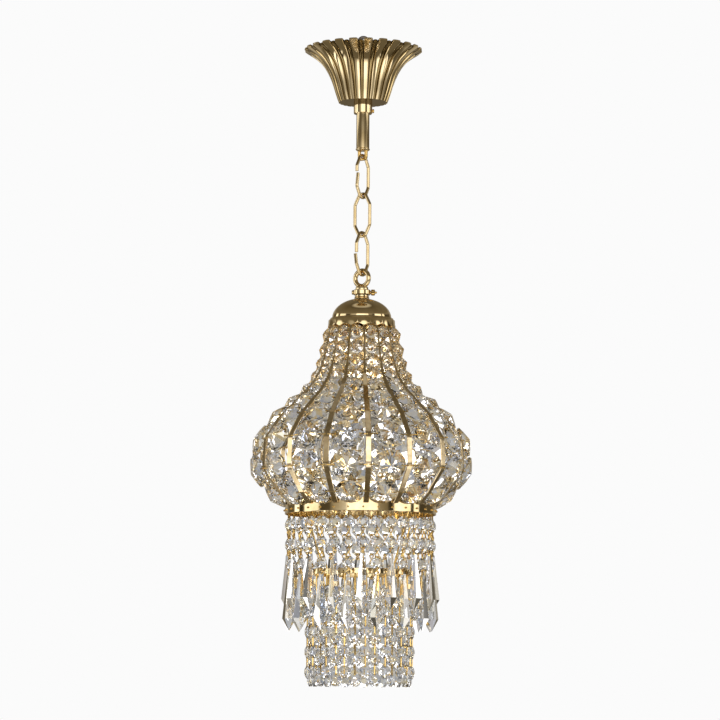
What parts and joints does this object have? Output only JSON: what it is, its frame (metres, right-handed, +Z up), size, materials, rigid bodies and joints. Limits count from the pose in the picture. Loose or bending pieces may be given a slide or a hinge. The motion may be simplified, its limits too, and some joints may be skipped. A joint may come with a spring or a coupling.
{
  "type": "crystal basket pendant chandelier",
  "caption": "Small crystal basket pendant: ribbed brass body of faceted rosettes, two fringes of octagon strands and icicles, chain, and a fluted sliding ceiling cup.",
  "frame": {"origin": "centre of the ceiling eye's bore", "axes": "+Z up, +Y along the eye's bore, away from the front; the pendant hangs along -Z"},
  "size_m": [0.2438, 0.2438, 0.7169],
  "materials": {
    "brass": "polished",
    "dark_steel": "satin",
    "crystal": "cut and polished",
    "bulb_glass": "clear",
    "holder": "gloss"
  },
  "bodies": {
    "suspension": {"ceiling_eye": "dark_steel", "rod_tube": "brass", "rod_ferrule": "brass", "chain_shackle": "brass"},
    "canopy": {"canopy_cup": "brass", "canopy_collar": "brass"},
    "set_screw": {"canopy_set_screw": "brass"},
    "link_1": {"chain_link_1": "brass"},
    "link_2": {"chain_link_2": "brass"},
    "link_3": {"chain_link_3": "brass"},
    "pendant": {"suspension_loop": "brass", "clamp_collar": "brass", "stem_nut": "brass", "dome_cap": "brass", "crown_collar": "brass", "ribs": "brass", "lower_band": "brass", "inner_ring": "brass", "inner_ring_rods": "brass", "lamp_cluster": "brass", "lampholders": "holder", "bulbs": "bulb_glass", "neck_beads": "crystal", "shoulder_rosettes": "crystal", "belly_rosettes": "crystal", "rosette_pins": "brass"},
    "clamp_screw": {"thumb_screw": "brass"},
    "outer_fringe_1": {"outer_crystals_1": "crystal", "outer_wires_1": "brass"},
    "outer_fringe_2": {"outer_crystals_2": "crystal", "outer_wires_2": "brass"},
    "outer_fringe_3": {"outer_crystals_3": "crystal", "outer_wires_3": "brass"},
    "outer_fringe_4": {"outer_crystals_4": "crystal", "outer_wires_4": "brass"},
    "outer_fringe_5": {"outer_crystals_5": "crystal", "outer_wires_5": "brass"},
    "outer_fringe_6": {"outer_crystals_6": "crystal", "outer_wires_6": "brass"},
    "outer_fringe_7": {"outer_crystals_7": "crystal", "outer_wires_7": "brass"},
    "outer_fringe_8": {"outer_crystals_8": "crystal", "outer_wires_8": "brass"},
    "inner_fringe_1": {"inner_crystals_1": "crystal", "inner_wires_1": "brass"},
    "inner_fringe_2": {"inner_crystals_2": "crystal", "inner_wires_2": "brass"},
    "inner_fringe_3": {"inner_crystals_3": "crystal", "inner_wires_3": "brass"},
    "inner_fringe_4": {"inner_crystals_4": "crystal", "inner_wires_4": "brass"},
    "inner_fringe_5": {"inner_crystals_5": "crystal", "inner_wires_5": "brass"},
    "inner_fringe_6": {"inner_crystals_6": "crystal", "inner_wires_6": "brass"},
    "inner_fringe_7": {"inner_crystals_7": "crystal", "inner_wires_7": "brass"},
    "inner_fringe_8": {"inner_crystals_8": "crystal", "inner_wires_8": "brass"}
  },
  "joints": [
    {"name": "canopy_slide", "type": "slide", "parent": "suspension", "child": "canopy", "axis": [0, 0, 1], "range_m": [-0.036, 0.016]},
    {"name": "set_screw_turn", "type": "hinge", "parent": "canopy", "child": "set_screw", "pos_m": [0.01, 0, -0.0772], "axis": [1, 0, 0], "range_deg": [-180, 180]},
    {"name": "link_1_swing", "type": "hinge", "parent": "suspension", "child": "link_1", "pos_m": [0, 0, -0.1309], "axis": [0.7934, -0.6088, 0], "range_deg": [-25, 25]},
    {"name": "link_2_swing", "type": "hinge", "parent": "link_1", "child": "link_2", "pos_m": [0, 0, -0.1738], "axis": [0.6088, 0.7934, 0], "range_deg": [-25, 25]},
    {"name": "link_3_swing", "type": "hinge", "parent": "link_2", "child": "link_3", "pos_m": [0, 0, -0.2168], "axis": [0.7934, -0.6088, 0], "range_deg": [-25, 25]},
    {"name": "pendant_swing", "type": "hinge", "parent": "link_3", "child": "pendant", "pos_m": [0, 0, -0.2598], "axis": [0.6088, 0.7934, 0], "range_deg": [-20, 20]},
    {"name": "thumb_screw_turn", "type": "hinge", "parent": "pendant", "child": "clamp_screw", "pos_m": [0.012, 0, -0.27925], "axis": [1, 0, 0], "range_deg": [-180, 180]},
    {"name": "outer_fringe_1_swing", "type": "hinge", "parent": "pendant", "child": "outer_fringe_1", "pos_m": [0.02543, -0.07437, -0.521], "axis": [-0.9462, -0.3235, 0], "range_deg": [0, 25]},
    {"name": "outer_fringe_2_swing", "type": "hinge", "parent": "pendant", "child": "outer_fringe_2", "pos_m": [0.07057, -0.03461, -0.521], "axis": [-0.4403, -0.8978, 0], "range_deg": [0, 25]},
    {"name": "outer_fringe_3_swing", "type": "hinge", "parent": "pendant", "child": "outer_fringe_3", "pos_m": [0.07437, 0.02543, -0.521], "axis": [0.3235, -0.9462, 0], "range_deg": [0, 25]},
    {"name": "outer_fringe_4_swing", "type": "hinge", "parent": "pendant", "child": "outer_fringe_4", "pos_m": [0.03461, 0.07057, -0.521], "axis": [0.8978, -0.4403, 0], "range_deg": [0, 25]},
    {"name": "outer_fringe_5_swing", "type": "hinge", "parent": "pendant", "child": "outer_fringe_5", "pos_m": [-0.02543, 0.07437, -0.521], "axis": [0.9462, 0.3235, 0], "range_deg": [0, 25]},
    {"name": "outer_fringe_6_swing", "type": "hinge", "parent": "pendant", "child": "outer_fringe_6", "pos_m": [-0.07057, 0.03461, -0.521], "axis": [0.4403, 0.8978, 0], "range_deg": [0, 25]},
    {"name": "outer_fringe_7_swing", "type": "hinge", "parent": "pendant", "child": "outer_fringe_7", "pos_m": [-0.07437, -0.02543, -0.521], "axis": [-0.3235, 0.9462, 0], "range_deg": [0, 25]},
    {"name": "outer_fringe_8_swing", "type": "hinge", "parent": "pendant", "child": "outer_fringe_8", "pos_m": [-0.03461, -0.07057, -0.521], "axis": [-0.8978, 0.4403, 0], "range_deg": [0, 25]},
    {"name": "inner_fringe_1_swing", "type": "hinge", "parent": "pendant", "child": "inner_fringe_1", "pos_m": [0.02165, -0.05132, -0.5905], "axis": [-0.9214, -0.3887, 0], "range_deg": [-1, 3.5]},
    {"name": "inner_fringe_2_swing", "type": "hinge", "parent": "pendant", "child": "inner_fringe_2", "pos_m": [0.0516, -0.02098, -0.5905], "axis": [-0.3766, -0.9264, 0], "range_deg": [-1, 3.5]},
    {"name": "inner_fringe_3_swing", "type": "hinge", "parent": "pendant", "child": "inner_fringe_3", "pos_m": [0.05132, 0.02165, -0.5905], "axis": [0.3887, -0.9214, 0], "range_deg": [-1, 3.5]},
    {"name": "inner_fringe_4_swing", "type": "hinge", "parent": "pendant", "child": "inner_fringe_4", "pos_m": [0.02098, 0.0516, -0.5905], "axis": [0.9264, -0.3766, 0], "range_deg": [-1, 3.5]},
    {"name": "inner_fringe_5_swing", "type": "hinge", "parent": "pendant", "child": "inner_fringe_5", "pos_m": [-0.02165, 0.05132, -0.5905], "axis": [0.9214, 0.3887, 0], "range_deg": [-1, 3.5]},
    {"name": "inner_fringe_6_swing", "type": "hinge", "parent": "pendant", "child": "inner_fringe_6", "pos_m": [-0.0516, 0.02098, -0.5905], "axis": [0.3766, 0.9264, 0], "range_deg": [-1, 3.5]},
    {"name": "inner_fringe_7_swing", "type": "hinge", "parent": "pendant", "child": "inner_fringe_7", "pos_m": [-0.05132, -0.02165, -0.5905], "axis": [-0.3887, 0.9214, 0], "range_deg": [-1, 3.5]},
    {"name": "inner_fringe_8_swing", "type": "hinge", "parent": "pendant", "child": "inner_fringe_8", "pos_m": [-0.02098, -0.0516, -0.5905], "axis": [-0.9264, 0.3766, 0], "range_deg": [-1, 3.5]}
  ]
}
